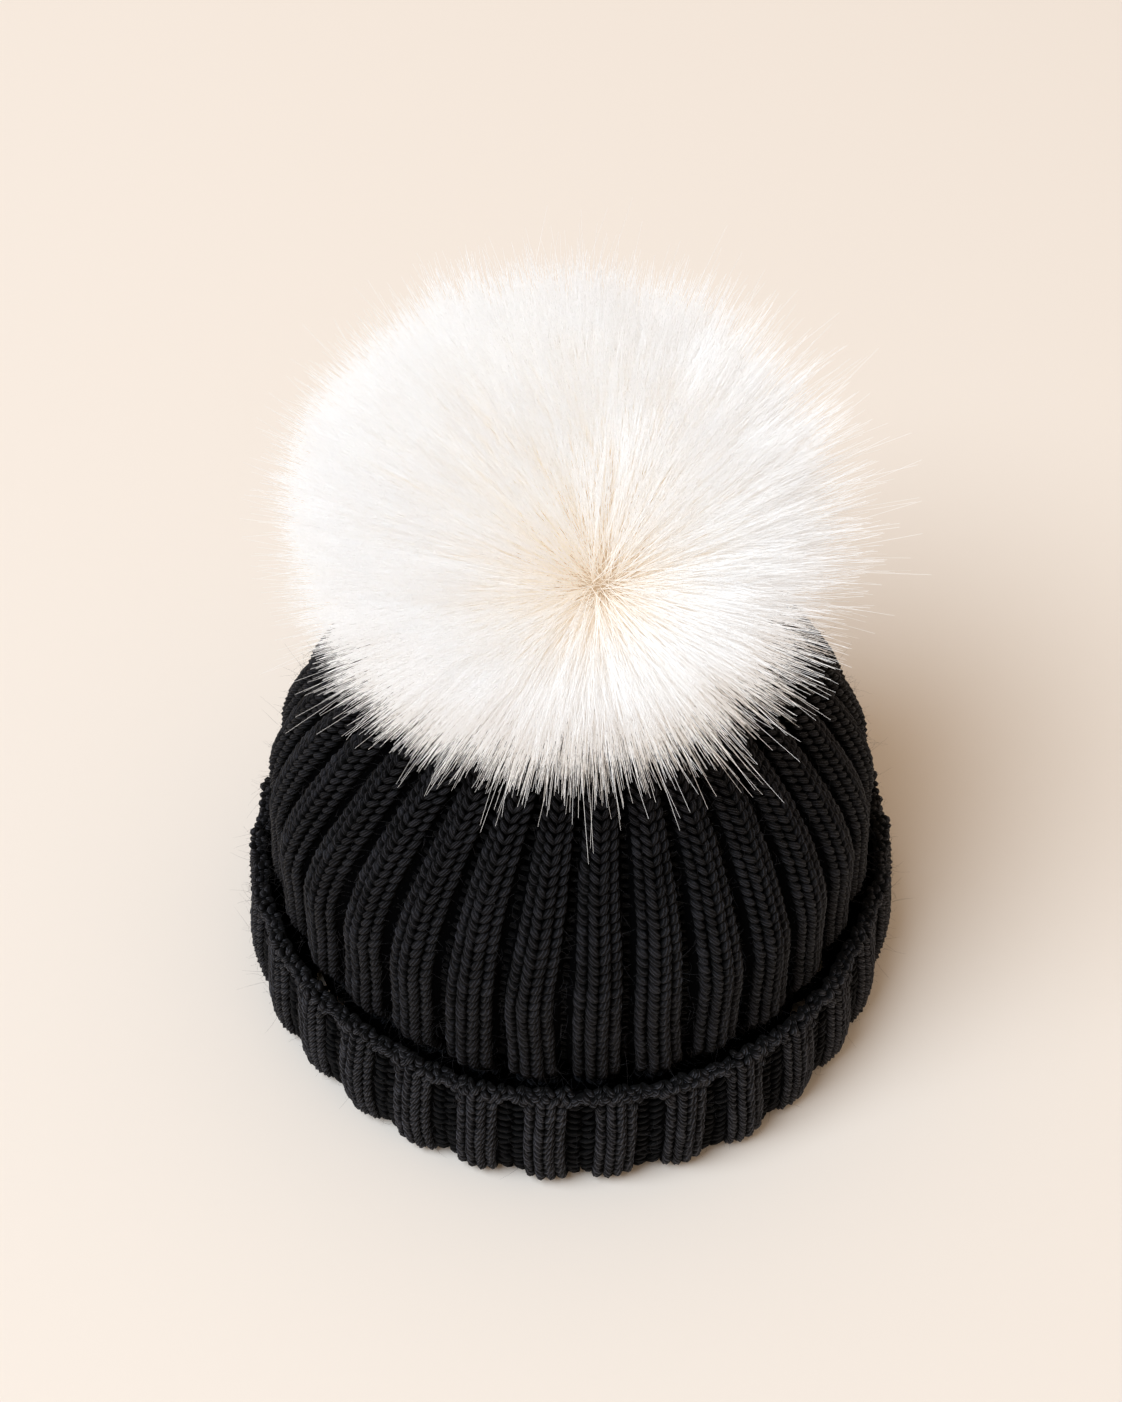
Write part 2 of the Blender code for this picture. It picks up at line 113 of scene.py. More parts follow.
class Graph:
    def __init__(self, tree):
        self.tree = tree

    def node(self, kind, settings=None, inputs=None, output=None):
        # settings go in first, because they decide which sockets there are
        node = self.tree.nodes.new(kind)
        for name, value in (settings or {}).items():
            setattr(node, name, value)
        for name, value in (inputs or {}).items():
            feed(self.tree, next(s for s in node.inputs if s.enabled and s.name == name), value)
        found = [s for s in node.outputs if s.enabled and output in (None, s.name)]
        return Wire(self.tree, found[0])

    def vector(self, x, y, z):
        return self.node("ShaderNodeCombineXYZ", inputs={"X": x, "Y": y, "Z": z})

    def mix(self, factor, first, second, kind="FLOAT"):
        values = {"Factor": factor, "A": first, "B": second}
        return self.node("ShaderNodeMix", {"data_type": kind}, values)

    def noise(self, vector, scale, detail=2.0, output="Fac"):
        settings = {"Vector": vector, "Scale": scale, "Detail": detail}
        return self.node("ShaderNodeTexNoise", inputs=settings, output=output)

    def spread(self, value, low, high, toLow=0.0, toHigh=1.0):
        limits = {"Value": value, "From Min": low, "From Max": high, "To Min": toLow, "To Max": toHigh}
        return self.node("ShaderNodeMapRange", {"interpolation_type": "SMOOTHSTEP"}, limits)

    def attribute(self, name, kind="FLOAT"):
        return self.node("GeometryNodeInputNamedAttribute", {"data_type": kind}, {"Name": name})

    def store(self, geometry, name, value, kind="FLOAT", domain="POINT"):
        settings = {"data_type": kind, "domain": domain}
        values = {"Geometry": geometry, "Name": name, "Value": value}
        return self.node("GeometryNodeStoreNamedAttribute", settings, values)

    def chance(self, seed, low=0.0, high=1.0, kind="FLOAT"):
        values = {"Min": low, "Max": high, "Seed": seed}
        return self.node("FunctionNodeRandomValue", {"data_type": kind}, values)

    def way(self, name):
        return self.attribute(name, "FLOAT_VECTOR")

    def storeWay(self, geometry, name, value):
        return self.store(geometry, name, value, "FLOAT_VECTOR")

    def toss(self, seed):
        return self.chance(seed, -1.0, 1.0, "FLOAT_VECTOR")

    def strandsOn(self, points, count):
        # a straight strand on every point, and how far along it each place is
        line = self.node("GeometryNodeCurvePrimitiveLine", inputs={"End": (0.0, 0.0, 1.0)})
        line = self.node("GeometryNodeResampleCurve", inputs={"Curve": line, "Count": count})
        strands = self.node("GeometryNodeInstanceOnPoints", inputs={"Points": points, "Instance": line})
        strands = self.node("GeometryNodeRealizeInstances", inputs={"Geometry": strands})
        return strands, self.node("GeometryNodeSplineParameter", output="Factor")

    def thicken(self, strands, radius):
        ring = self.node("GeometryNodeCurvePrimitiveCircle", inputs={"Resolution": 3, "Radius": 1.0})
        return self.node("GeometryNodeCurveToMesh", inputs={
            "Curve": strands, "Profile Curve": ring, "Scale": radius, "Fill Caps": False})


class Surface(Graph):
    # a material whose constants sit on the shader and whose patterns are linked in
    def __init__(self, name, colour, roughness, shine=0.5, sheen=0.0, metallic=0.0):
        self.material = bpy.data.materials.new(name)
        self.material.use_nodes = True
        super().__init__(self.material.node_tree)
        self.shader = self.tree.nodes["Principled BSDF"]
        self.set({"Base Color": colour, "Roughness": roughness, "Specular IOR Level": shine,
                  "Sheen Weight": sheen, "Metallic": metallic})

    def set(self, values):
        for label, value in values.items():
            feed(self.tree, self.shader.inputs[label], value)

    def colours(self, share, dark, light):
        self.set({"Base Color": self.mix(share, dark, light, "RGBA")})

    def place(self):
        return self.node("ShaderNodeTexCoord", output="Object")

    def own(self, name, output="Fac"):
        return self.node("ShaderNodeAttribute", {"attribute_name": name}, output=output)

    def bump(self, height, distance, strength=1.0):
        values = {"Height": height, "Distance": distance, "Strength": strength}
        self.set({"Normal": self.node("ShaderNodeBump", inputs=values)})


def geometryTree(name, defaults):
    tree = bpy.data.node_groups.new(name, "GeometryNodeTree")
    kinds = {float: "Float", int: "Int", tuple: "Vector", bpy.types.Material: "Material"}
    for side in ("INPUT", "OUTPUT"):
        tree.interface.new_socket("Geometry", in_out=side, socket_type="NodeSocketGeometry")
    for label, value in defaults.items():
        kind = kinds[type(value)]
        socket = tree.interface.new_socket(label, in_out="INPUT", socket_type="NodeSocket" + kind)
        socket.default_value = value
    graph = Graph(tree)
    entry = tree.nodes.new("NodeGroupInput")
    given = {s.name: Wire(tree, s) for s in entry.outputs if s.name}
    return graph, given


def labelled(shape):
    # a piece's dictionary under the names that its tree's inputs have
    return {key.capitalize(): value for key, value in shape.items()}


def closeTree(graph, geometry, material):
    solid = graph.node("GeometryNodeRealizeInstances", inputs={"Geometry": geometry})
    smooth = graph.node("GeometryNodeSetShadeSmooth", inputs={"Geometry": solid})
    done = graph.node("GeometryNodeSetMaterial", inputs={"Geometry": smooth, "Material": material})
    feed(graph.tree, graph.tree.nodes.new("NodeGroupOutput").inputs["Geometry"], done)
    return graph.tree


def addPiece(name, mesh, material=None):
    mesh.name = name
    if material:
        mesh.materials.append(material)
    piece = bpy.data.objects.new(name, mesh)
    scene.collection.objects.link(piece)
    return piece


def grow(name, guide, tree, values):
    holder = addPiece(name + "Guide", guide)
    modifier = holder.modifiers.new("grow", "NODES")
    modifier.node_group = tree
    for item in tree.interface.items_tree:
        if item.in_out == "INPUT" and item.name in values:
            modifier[item.identifier] = values[item.name]
    graph = bpy.context.evaluated_depsgraph_get()
    mesh = bpy.data.meshes.new_from_object(
        holder.evaluated_get(graph), preserve_all_data_layers=True, depsgraph=graph
    )
    bpy.data.objects.remove(holder)
    bpy.data.meshes.remove(guide)
    piece = addPiece(name, mesh)
    print(name, triangles(piece), "triangles")
    return piece


def triangles(piece):
    return sum(len(p.vertices) - 2 for p in piece.data.polygons)


def gridMesh(name, points, closedAcross=True):
    # points is rows x columns x 3; the columns go round and meet
    rows, columns = points.shape[:2]
    index = np.arange(rows * columns).reshape(rows, columns)
    if closedAcross:
        right = np.roll(index, -1, axis=1)
        quads = stack(index[:-1], index[1:], right[1:], right[:-1])
    else:
        quads = stack(index[:-1, :-1], index[1:, :-1], index[1:, 1:], index[:-1, 1:])
    mesh = bpy.data.meshes.new(name)
    mesh.from_pydata(points.reshape(-1, 3).tolist(), [], quads.reshape(-1, 4).tolist())
    mesh.polygons.foreach_set("use_smooth", np.ones(len(mesh.polygons), bool))
    mesh.update()
    return mesh


def weld(work):
    bmesh.ops.remove_doubles(work, verts=work.verts, dist=1e-6)


def dropSlivers(work):
    bmesh.ops.dissolve_degenerate(work, edges=work.edges, dist=1e-7)


def fillHoles(work):
    bmesh.ops.holes_fill(work, edges=[e for e in work.edges if e.is_boundary], sides=0)


def closeSkin(mesh, *steps):
    # mends a skin and turns its faces outward
    work = bmesh.new()
    work.from_mesh(mesh)
    for step in steps:
        step(work)
    bmesh.ops.recalc_face_normals(work, faces=work.faces)
    work.to_mesh(mesh)
    work.free()
    return mesh


def grid(*axes):
    return np.meshgrid(*axes, indexing="ij")


def stack(*parts):
    return np.stack(parts, axis=-1)


def lengthAlong(points):
    return np.concatenate([[0], np.cumsum(np.linalg.norm(np.diff(points, axis=0), axis=1))])


def slopeOf(points, run):
    slope = np.gradient(points, run, axis=0)
    return slope / np.linalg.norm(slope, axis=1)[:, None]


def resample(points, run, at):
    return np.stack([np.interp(at, run, points[:, k]) for k in range(2)], axis=1)


def radiusAt(line, run):
    return np.interp(run, line["run"], line["radius"])


crownLow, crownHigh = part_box("crown_knit")
cuffLow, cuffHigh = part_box("cuff")
furLow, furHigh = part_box("pom_fur")
skinLow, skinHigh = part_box("pom_skin")
crownRadius, crownTop = crownHigh.x, crownHigh.z
cuffRadius, cuffTop = cuffHigh.x, cuffHigh.z
pomRadius = (furHigh.x - furLow.x) / 2
pomCentre = Vector((0, 0, furHigh.z - pomRadius))
skinRadius = (skinHigh.x - skinLow.x) / 2

# the line that the crests of the ribs follow, from the top of the crown to its foot
crownLine = {
    "roundness": 1.43,
    "widestShare": 0.5025,  # height of the widest place, as a share of the crown's top
    "seatRadius": 0.0165,
    "bulgeRadius": 0.0943,  # just above the cuff, where the ribs turn under
    "bulgeHeight": 0.0475,
    "tuckRadius": 0.0876,  # behind the cuff's edge
    "tuckHeight": 0.0375,
    "footRadius": 0.0869,
}
cuffLine = {
    "topRadius": 0.974,  # this and the next two are shares of the cuff's widest radius
    "middleRadius": 1.0,
    "foldRadius": 0.990,
    "middleShare": 0.42,
    "topHeight": 0.0468,
    "foldRound": 0.0062,
    "lipRadius": 0.0824,
    "lipHeight": 0.009,
}
rib = {"count": 30, "strands": 4, "pitch": 0.0031}  # pitch is from one row of stitches to the next
ribPitch = 2 * math.pi / rib["count"]
crownRib = {
    "turn": -7.9,  # degrees from the middle of the front to the nearest crest
    "share": 0.77,  # share of a rib's space that its strands take
    "valley": 0.0072,  # how far the valleys lie below the crests
    "sideDrop": 0.0011,  # how far the outer strands lie below the inner ones
    "twist": 0.17,  # how far the ribs turn on their way up the crown
}
cuffRib = {"turn": -4.6, "share": 0.60, "valley": 0.0032, "sideDrop": 0.0007, "twist": 0.0}


def smoothLine(corners, step=0.0008, passes=14):
    # an evenly spaced line through the corners, with its bends rounded
    corners = np.array(corners, float)
    for _ in range(2):
        run = lengthAlong(corners)
        corners = resample(corners, run, np.linspace(0, run[-1], max(3, round(run[-1] / step))))
        for _ in range(passes):
            corners[1:-1] = (corners[:-2] + 2 * corners[1:-1] + corners[2:]) / 4
    run = lengthAlong(corners)
    return {"run": run, "radius": corners[:, 0], "height": corners[:, 1], "slope": slopeOf(corners, run)}


def makeCrownLine():
    line, top = crownLine, crownTop
    widest = line["widestShare"] * top
    seat = math.asin(line["seatRadius"] / crownRadius)
    radii = crownRadius * np.sin(np.linspace(seat, math.pi / 2, 90))
    share = (1 - (radii / crownRadius) ** 2).clip(0) ** (1 / line["roundness"])
    corners = list(zip(radii, widest + (top - widest) * share))
    bulge = line["bulgeHeight"]
    for height in np.linspace(widest, bulge, 14)[1:]:
        ease = ((widest - height) / (widest - bulge)) ** 2.2
        corners.append((crownRadius + (line["bulgeRadius"] - crownRadius) * ease, height))
    corners += [(line["tuckRadius"], line["tuckHeight"]), (line["tuckRadius"], line["tuckHeight"] - 0.012),
                (line["footRadius"], crownLow.z)]
    return smoothLine(corners, passes=9)


def makeCuffLine():
    line = cuffLine
    top, middle, fold = (line[k] * cuffRadius for k in ("topRadius", "middleRadius", "foldRadius"))
    middleHeight, bend = line["middleShare"] * cuffTop, line["foldRound"]
    corners = []
    for height in np.linspace(line["topHeight"], bend, 24):
        if height > middleHeight:
            ease = ((height - middleHeight) / (line["topHeight"] - middleHeight)) ** 1.6
            corners.append((middle + (top - middle) * ease, height))
        else:
            ease = ((middleHeight - height) / (middleHeight - bend)) ** 1.8
            corners.append((middle + (fold - middle) * ease, height))
    for turn in np.linspace(0, math.pi / 2, 8)[1:]:
        corners.append((fold - bend + bend * math.cos(turn), bend - bend * math.sin(turn)))
    for turn in np.linspace(math.pi / 2, math.pi, 8):
        corners.append((line["lipRadius"] + bend + bend * math.cos(turn), bend - bend * math.sin(turn)))
    corners.append((line["lipRadius"], line["lipHeight"]))
    return smoothLine(corners, passes=6)


def sway(angle, height):
    # the hat isn't a perfect round: it leans and bulges a little, the same for every piece of it
    rise = np.clip(height / crownTop, 0, 1)
    bulge = 0.0009 * np.sin(2 * angle + 0.6) + 0.0007 * np.sin(3 * angle - 1.1)
    ripple = 0.00035 * np.sin(7 * angle + 2.0) + 0.0003 * np.sin(11 * angle + 12 * height / crownTop)
    return (bulge + ripple) * np.clip(4 * (1 - rise), 0, 1)


def firstCrest(line):
    return math.radians(line["turn"] - 90)


def ribAngles(line):
    return firstCrest(line) + np.arange(rib["count"]) * ribPitch


def onLine(line, run, angle, lift):
    # where a place is, and its outward, upward and sideways directions
    radius, height = radiusAt(line, run), np.interp(run, line["run"], line["height"])
    slope = stack(*(np.interp(run, line["run"], line["slope"][:, k]) for k in range(2)))
    slope /= np.linalg.norm(slope, axis=-1)[..., None]
    out, rise = -slope[..., 1], slope[..., 0]
    angle = angle + line["twist"] * (1 - radius / line["radius"].max())
    c, s = np.cos(angle), np.sin(angle)
    far = radius + lift * out + sway(angle, height)
    place = stack(far * c, far * s, height + lift * rise)
    outward = stack(out * c, out * s, rise)
    upward = stack(-slope[..., 0] * c, -slope[..., 0] * s, -slope[..., 1])
    return place, outward, upward, stack(-s, c, np.zeros_like(angle))


crownPath, cuffPath = {**makeCrownLine(), **crownRib}, {**makeCuffLine(), **cuffRib}
print("lines of the crown and cuff", round(crownPath["run"][-1], 4), round(cuffPath["run"][-1], 4))


def knitYarn(name, dark, light):
    # each stitch is a plump lobe of loosely twisted wool; "lobe" is a place on its own stitch
    yarn = Surface(name, light, 0.66, shine=0.14)
    lobe, tone = yarn.own("lobe", "Vector"), yarn.own("tone")
    along, across, out = lobe.part("Z"), lobe.part("Y"), lobe.part("X")
    place = yarn.place()
    fibre = yarn.noise(place, 2600.0, 3.0)
    cloud = yarn.noise(place, 90.0, 2.0)
    bend = along * 7.0 + across * 19.0 + tone * 6.0 + fibre * 2.4
    twist = (bend.sine() * 0.5 + 0.5) ** 1.6
    # the ply streaks lighten the colour both as the yarn's ply pattern and as painted highlights along the
    # plies
    shade = tone * 0.45 - 0.1 + (cloud - 0.5) * 0.9 + (fibre - 0.5) * 1.5 + twist * 1.5
    # painted shade: each lobe's sides and underside are darkened in the colour, down to 3%, as shade in
    # the crevices between stitches
    paintedCreviceShade = yarn.spread(out, -0.1, 0.42, 0.03, 1.0)
    yarn.colours((shade * paintedCreviceShade).most(0.0).least(1.6) / 1.6, dark, light)
    yarn.set({"Roughness": yarn.spread(out, -0.1, 0.4, 1.0, 0.60)})
    yarn.bump(twist * 1.0 + fibre * 0.9, 0.0007, 1.0)
    return yarn.material


knitWool = knitYarn("knitWool", (0.0007, 0.0007, 0.0009), (0.040, 0.041, 0.050))
# painted light: the cuff gets a copy of the same wool made about twice as light as the crown's
cuffWool = knitYarn("cuffWool", (0.0012, 0.0012, 0.0014), (0.084, 0.085, 0.100))
# painted shade: the cuff's valley bars get a darker copy of the same wool, for the shade in the valleys
cuffPurlWool = knitYarn("cuffPurlWool", (0.0008, 0.0008, 0.0010), (0.014, 0.014, 0.0165))
# painted light: the inside stitches get a lighter copy of the same wool, so they show in the hat's dark
# inside
insideWool = knitYarn("insideWool", (0.0010, 0.0010, 0.0012), (0.060, 0.061, 0.070))
# painted shade: the crown's valley bars get a much darker copy of the same wool, for the shade deep in the
# valleys
purlWool = knitYarn("purlWool", (0.0004, 0.0004, 0.0005), (0.0045, 0.0045, 0.0056))
# painted shade: the cloth under the stitches is near black, for the shade in the gaps between stitches
backWool = Surface("backWool", (0.0009, 0.0009, 0.0011), 1.0, shine=0.02)
backWool.bump(backWool.noise(backWool.place(), 1400.0, 3.0), 0.0004, 0.9)


stitchShape = {
    "segments": 6,
    "rings": 5,
    "dip": 1.1,  # how far a stitch's ends bend under, for its depth
    "hook": 0.5,  # how far its ends curl sideways
    "unevenness": 0.1,
    "wander": 0.10,
}


def makeStitchTree():
    graph, given = geometryTree("stitches", {**labelled(stitchShape), "Seed": 1, "Wool": knitWool})
    ball = graph.node("GeometryNodeMeshUVSphere", inputs={
        "Segments": given["Segments"], "Rings": given["Rings"], "Radius": 0.5})
    at = graph.node("GeometryNodeInputPosition")
    along = at.part("Z")
    bent = graph.vector(-(along * along * given["Dip"]), along * along * along * given["Hook"], 0.0)
    lobe = graph.node("GeometryNodeSetPosition", inputs={"Geometry": ball, "Offset": bent})
    lobe = graph.storeWay(lobe, "lobe", at)
    jitter = graph.toss(given["Seed"]) * given["Wander"]
    turn = graph.node("FunctionNodeAxesToRotation", {"primary_axis": "Z", "secondary_axis": "X"}, {
        "Primary Axis": graph.way("aim") + jitter, "Secondary Axis": graph.way("face")})
    size = graph.way("size") * (1.0 + graph.chance(given["Seed"] + 1.0, -1.0, 1.0) * given["Unevenness"])
    laid = graph.node("GeometryNodeInstanceOnPoints", inputs={
        "Points": given["Geometry"], "Instance": lobe, "Rotation": turn, "Scale": size})
    tone = graph.chance(given["Seed"] + 2.0)
    laid = graph.store(laid, "tone", tone, domain="INSTANCE")
    return closeTree(graph, laid, given["Wool"])


stitchTree = makeStitchTree()


def pointMesh(name, place, aim, face, size):
    mesh = bpy.data.meshes.new(name)
    flat = np.asarray(place, np.float32).reshape(-1, 3)
    mesh.vertices.add(len(flat))
    mesh.vertices.foreach_set("co", flat.ravel())
    for label, values in (("aim", aim), ("face", face), ("size", size)):
        store = mesh.attributes.new(label, "FLOAT_VECTOR", "POINT")
        store.data.foreach_set("vector", np.asarray(values, np.float32).reshape(-1, 3).ravel())
    return mesh


def addStitches(name, place, aim, face, size, seed, wool=None, **shape):
    values = {**labelled({**stitchShape, **shape}), "Seed": seed, "Wool": wool or knitWool}
    return grow(name, pointMesh(name, place, aim, face, size), stitchTree, values)


def stitchRows(line, start, end, seed):
    # every stitch of the ribs: rib, strand, row
    rows = int((end - start) / rib["pitch"])
    chance = np.random.default_rng(seed)
    angle, strand, row = grid(ribAngles(line), np.arange(rib["strands"]), np.arange(rows))
    number = np.broadcast_to(np.arange(rib["count"])[:, None, None], angle.shape)
    slip = chance.uniform(-0.4, 0.4, rib["count"])[number] * rib["pitch"]
    run = start + (row + 0.5) * rib["pitch"] + slip
    middle = (strand - (rib["strands"] - 1) / 2) / rib["strands"]
    phase = chance.uniform(0, 2 * math.pi, rib["count"])[number]
    drift = 0.0045 * np.sin(run * 55 + phase) + 0.003 * np.sin(run * 121 + 2 * phase)
    return run, angle + middle * ribPitch * line["share"] + drift, strand, middle


ribStitch = {
    "lean": 36.0,  # degrees from straight up
    "rake": 0.17,  # how much its upper end goes in under the next one
    "wide": 0.73,  # for the space a strand has
    "long": 1.70,  # for the pitch of the rows
    "deep": 0.0033,
    "round": 1.5,  # how much the outer strands face sideways
    "fullGap": 0.0032,  # a strand with less space than this has smaller stitches
}


def ribStitches(name, line, start, end, seed, strands, wool=None):
    run, angle, strand, middle = stitchRows(line, start, end, seed)
    keep = np.isin(strand, strands) & (run < end)
    run, angle, middle = run[keep], angle[keep], middle[keep]
    look = ribStitch
    radius = radiusAt(line, run)
    gap = radius * ribPitch * line["share"] / rib["strands"]
    narrow = np.clip(gap / look["fullGap"], 0.3, 1.0)
    edge = np.abs(middle) * 2 * rib["strands"] / (rib["strands"] - 1)
    lift = -look["deep"] * 0.5 * narrow - line["sideDrop"] * (edge ** 3) * narrow
    place, outward, upward, sideways = onLine(line, run, angle, lift)
    lean = np.radians(look["lean"]) * np.sign(middle)
    aim = upward * np.cos(lean)[:, None] + sideways * np.sin(lean)[:, None] - outward * look["rake"]
    face = outward + sideways * (middle * look["round"])[:, None]
    long = rib["pitch"] * look["long"] * (0.55 + 0.45 * narrow)
    size = stack(look["deep"] * narrow, gap * look["wide"], long)
    return addStitches(name, place, aim, face, size, seed, wool)


valleyStitch = {
    "broad": 1.1,  # how much of a valley's width the bars take
    "stagger": 0.3,
    "under": 0.0002,  # how far they lie below the floor of the valley
    "thick": 0.0018,
    "tall": 0.46,  # for the pitch of the rows
    "long": 1.25,  # for the space a bar has
    "tilts": (-0.22, 0.30),
}


def valleyStitches(name, line, start, end, seed, columns, wool):
    # the small bars of yarn that cross the valleys
    look, free = valleyStitch, ribPitch * (1 - line["share"])
    rows = int((end - start) / rib["pitch"])
    angle, column, row = grid(ribAngles(line) + ribPitch / 2, np.arange(columns), np.arange(rows))
    middle = (column - (columns - 1) / 2) / columns
    run = start + (row + 0.5 + look["stagger"] * (column % 2)) * rib["pitch"]
    radius = radiusAt(line, run)
    narrow = np.clip(radius / crownRadius, 0.25, 1)
    lift = -line["valley"] * narrow - look["under"]
    place, outward, upward, sideways = onLine(line, run, angle + middle * free * look["broad"], lift)
    aim = sideways + upward * np.array(look["tilts"])[column % 2][..., None]
    tall = np.full_like(radius, rib["pitch"] * look["tall"])
    size = stack(look["thick"] * narrow, tall, radius * free / columns * look["long"])
    return addStitches(name, place, aim, outward, size, seed, wool, dip=1.6, hook=0.2, wander=0.26,
                       unevenness=0.2)


edgeYarn = {
    "rows": ((-0.0010, 0.0006, 0.0), (-0.0026, 0.0, 0.5), (-0.0040, 0.0003, 0.2)),  # lift, run, slide
    "perRib": 7,
    "dip": 0.0016,  # how far the edge runs down over a valley
    "uneven": 0.0003,
    "knob": (0.0028, 0.0023, 0.0037),
    "bow": 0.0042,  # how far an arch's ends hang below its middle
    "bowPower": 2.4,
    "bowStitch": (0.0024, 0.0021, 0.0037),
}


def edgeStitches(name, line, seed):
    # the knobbly edge, and an arch of yarn over each valley
    look, parts = edgeYarn, []
    chance = np.random.default_rng(seed)
    count = rib["count"] * look["perRib"]
    for lift, run, slide in look["rows"]:
        around = (np.arange(count) + slide) * 2 * math.pi / count
        dip = (1 - np.cos(around * rib["count"])) / 2
        uneven = chance.normal(0, 1, (3, count))
        run = run + look["dip"] * dip + look["uneven"] * uneven[0]
        lift = lift - 0.0012 * dip + look["uneven"] * uneven[1]
        place, outward, upward, sideways = onLine(line, run, firstCrest(line) + around, lift)
        tilt = (np.where(np.arange(count) % 2, 0.9, -0.9) + 0.5 * uneven[2])[:, None]
        size = np.broadcast_to(look["knob"], place.shape)
        parts.append((place, sideways + upward * tilt, outward, size))
    power = look["bowPower"]
    valley, bow = grid(ribAngles(line) + ribPitch / 2, np.linspace(-1, 1, 7))
    half = ribPitch * (1 - line["share"]) / 2 + 0.010
    run, lift = 0.0016 + look["bow"] * np.abs(bow) ** power, -0.0015 - 0.0008 * (1 - bow ** 2)
    place, outward, upward, sideways = onLine(line, run, valley + bow * half, lift)
    fall = look["bow"] * power * np.sign(bow) * np.abs(bow) ** (power - 1) / (cuffRadius * half)
    size = np.broadcast_to(look["bowStitch"], place.shape)
    parts.append((place, sideways - upward * fall[..., None], outward, size))
    joined = [np.concatenate([np.reshape(p[k], (-1, 3)) for p in parts]) for k in range(4)]
    return addStitches(name, *joined, seed, cuffWool, wander=0.2, unevenness=0.18)


cloth = {
    "crest": 0.0026,  # how deep it lies under the crests
    "deeper": 0.0008,  # how deep under the valleys
    "perRib": 8,
}


def insideStitches(name, line, start, end, seed, strands=4):
    # the wrong side of the knitting, which follows the cloth in and out
    rows = int((end - start) / (rib["pitch"] * 1.15))
    count = rib["count"] * strands
    row, spot = grid(np.arange(rows), np.arange(count))
    run = start + (row + 0.5) * (end - start) / rows
    around = (spot + 0.5 * (row % 2)) * 2 * math.pi / count
    valley = np.clip(((1 - np.cos(around * rib["count"])) / 2 - 0.55) / 0.4, 0, 1)
    depth = cloth["crest"] + (line["valley"] - cloth["crest"]) * valley + 0.0021
    place, outward, upward, sideways = onLine(line, run, firstCrest(line) + around, -depth)
    broad = radiusAt(line, run) * 2 * math.pi / count
    thick, tall = np.full_like(broad, 0.0016), np.full_like(broad, rib["pitch"] * 0.8)
    size = stack(thick, tall, broad * 1.15)
    return addStitches(name, place, sideways + upward * 0.25, -outward, size, seed, insideWool,
                       segments=4, rings=3, dip=0.8, wander=0.12)


def clothBack(name, line, start, end, thick):
    # the fabric that the stitches stand on, near black as painted shade in the gaps between stitches: its
    # two faces and its rims
    top, bottom = cloth["crest"], line["valley"] + cloth["deeper"]
    columns = rib["count"] * cloth["perRib"]
    angle = firstCrest(line) + np.arange(columns) * 2 * math.pi / columns
    half = cloth["perRib"] // 2
    off = np.abs((np.arange(columns) + half) % cloth["perRib"] - half) / half
    valley = np.clip((off - line["share"] + 0.12) / 0.3, 0, 1)
    valley = valley * valley * (3 - 2 * valley)
    run, around = grid(np.linspace(start, end, round((end - start) / 0.0032)), angle)
    flat = np.clip((radiusAt(line, run) - 0.017) / 0.016, 0, 1)
    depth = (top + (bottom - top) * valley[None, :]) * flat + 0.0002
    outside = onLine(line, run, around, -depth)[0]
    inside = onLine(line, run, around, -depth - thick(flat))[0]
    rings = np.concatenate([outside, inside[::-1], outside[:1]])
    return addPiece(name, closeSkin(gridMesh(name, rings), weld), backWool.material)


crownEnd = crownPath["run"][-1]
crownStart = float(np.interp(crownLine["seatRadius"], crownPath["radius"][:40], crownPath["run"][:40]))
hiddenRun = float(crownPath["run"][np.argmax(crownPath["height"] < 0.7 * cuffTop)])
cuffEnd = cuffPath["run"][-1]

crownCloth = clothBack("crownCloth", crownPath, crownStart, crownEnd, lambda flat: 0.0043 - 0.0027 * flat)
cuffCloth = clothBack("cuffCloth", cuffPath, 0.0012, cuffEnd, lambda flat: 0.0012)
crownStitchPieces = [
    ribStitches("crownStitchesLeft", crownPath, 0.0015, hiddenRun, 21, (0, 1)),
    ribStitches("crownStitchesRight", crownPath, 0.0015, hiddenRun, 21, (2, 3)),
    valleyStitches("crownPurls", crownPath, 0.006, hiddenRun, 31, 1, purlWool),
]
cuffStitchPieces = [
    ribStitches("cuffStitches", cuffPath, 0.0016, cuffEnd, 22, (0, 1, 2, 3), cuffWool),
    valleyStitches("cuffPurls", cuffPath, 0.0020, cuffEnd, 32, 2, cuffPurlWool),
    edgeStitches("cuffEdge", cuffPath, 33),
]
crownStitchPieces.append(insideStitches("crownInside", crownPath, 0.028, crownEnd - 0.002, 34))
hatPieces = [crownCloth, cuffCloth] + crownStitchPieces + cuffStitchPieces


furLook = {
    # the roots' cream is partly the fur's own colour and partly painted shade deep between the tufts
    "root": (0.93, 0.87, 0.79),
    "rootGlow": (1.30, 1.20, 1.07),
    "tip": (0.972, 0.975, 0.98),
    "tipGlow": (0.97, 0.99, 1.03),
    "glow": 0.158,  # stands for the light that passes through the fine hairs
    "paintedLowShade": (0.992, 0.974, 0.952),  # painted shade: the lowest hairs are tinted warmer and darker, in their colour and in their glow
    "paintedLowShadeGlow": (0.91, 0.81, 0.72),
    "paintedLowShadeHeights": (0.132, 0.202),
}


